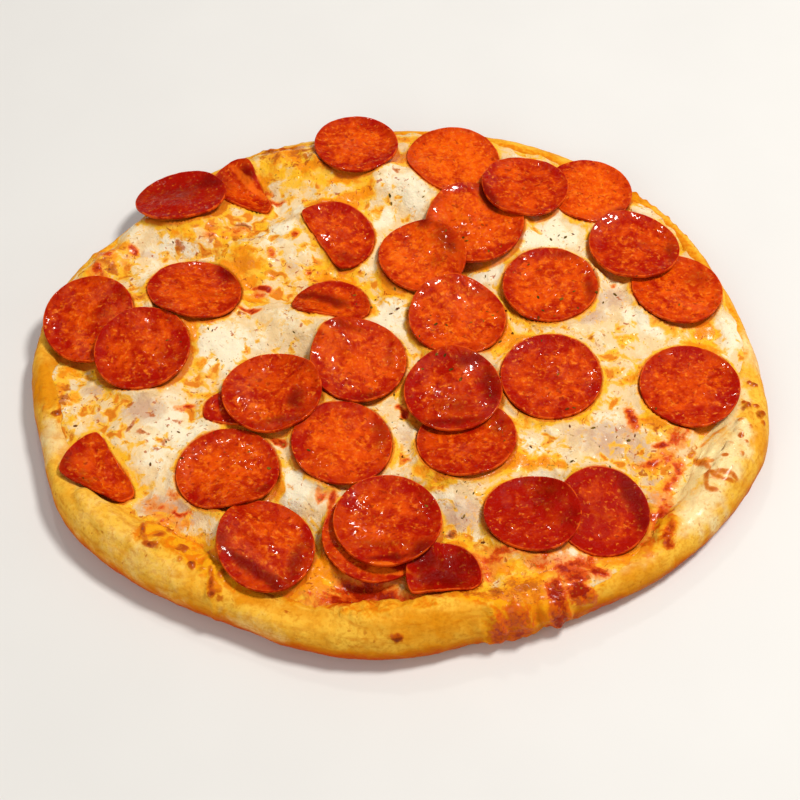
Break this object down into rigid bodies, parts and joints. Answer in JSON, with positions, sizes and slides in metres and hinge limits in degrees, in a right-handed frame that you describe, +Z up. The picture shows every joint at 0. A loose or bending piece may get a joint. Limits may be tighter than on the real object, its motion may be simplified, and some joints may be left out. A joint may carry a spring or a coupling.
{
  "type": "pan pizza",
  "caption": "Round pan pizza, baked whole: golden crust with a rounded uneven rim, melted cheese and overlapping pepperoni slices.",
  "frame": {"origin": "middle of the underside: the centre of the whole pizza's box across, at the height of the flat base", "axes": "+X along the wider way across, +Y to the edge that is at the back in the picture, +Z up"},
  "size_m": [0.3066, 0.2672, 0.027],
  "materials": {
    "crust": "baked dough, golden yellow with browned and oily patches",
    "cheese": "melted cream-white cheese, soft sheen, with orange oil and sauce stains and tiny dark herb flakes",
    "pepperoni": "mottled orange-red cured sausage, oily"
  },
  "bodies": {
    "root": {"crust": "crust", "cheese": "cheese", "pepperoni_01": "pepperoni", "pepperoni_02": "pepperoni", "pepperoni_03": "pepperoni", "pepperoni_04": "pepperoni", "pepperoni_05": "pepperoni", "pepperoni_06": "pepperoni", "pepperoni_07": "pepperoni", "pepperoni_08": "pepperoni", "pepperoni_09": "pepperoni", "pepperoni_10": "pepperoni", "pepperoni_11": "pepperoni", "pepperoni_12": "pepperoni", "pepperoni_13": "pepperoni", "pepperoni_14": "pepperoni", "pepperoni_15": "pepperoni", "pepperoni_16": "pepperoni", "pepperoni_17": "pepperoni", "pepperoni_18": "pepperoni", "pepperoni_19": "pepperoni", "pepperoni_20": "pepperoni", "pepperoni_21": "pepperoni", "pepperoni_22": "pepperoni", "pepperoni_23": "pepperoni", "pepperoni_24": "pepperoni", "pepperoni_25": "pepperoni", "pepperoni_26": "pepperoni", "pepperoni_27": "pepperoni", "pepperoni_28": "pepperoni", "pepperoni_29": "pepperoni", "pepperoni_30": "pepperoni", "pepperoni_31": "pepperoni", "pepperoni_32": "pepperoni", "pepperoni_33": "pepperoni"}
  },
  "joints": []
}
